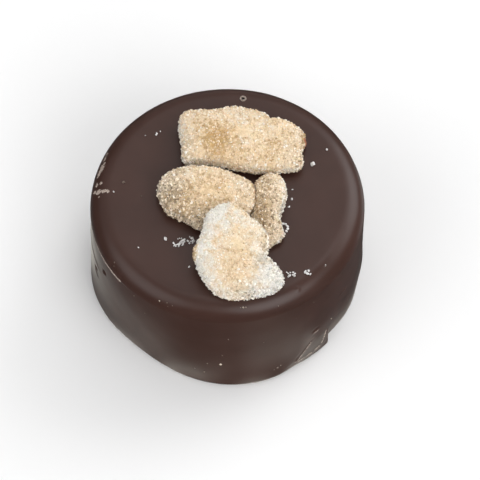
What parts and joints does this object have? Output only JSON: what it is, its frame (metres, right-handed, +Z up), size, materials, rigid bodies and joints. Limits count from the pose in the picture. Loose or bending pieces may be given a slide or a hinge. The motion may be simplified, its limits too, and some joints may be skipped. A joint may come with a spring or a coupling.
{
  "type": "ganache chocolate with crystallised ginger",
  "caption": "Round dark chocolate coated ganache with a flat top and a rounded rim, topped with chunks of sugar-crusted crystallised ginger.",
  "frame": {"origin": "middle of the underside, at the bottom centre of the bounding box", "axes": "+Z up through the top that carries the ginger, +Y to the back, where the largest ginger piece lies, +X to the right as seen from the front"},
  "size_m": [0.0303, 0.0303, 0.0201],
  "materials": {
    "dark_chocolate": "satin dark chocolate",
    "sugared_ginger": "amber ginger under a crust of sugar crystals"
  },
  "bodies": {
    "root": {"chocolate": "dark_chocolate", "ginger_back": "sugared_ginger", "ginger_left": "sugared_ginger", "ginger_right": "sugared_ginger", "ginger_front": "sugared_ginger"}
  },
  "joints": []
}
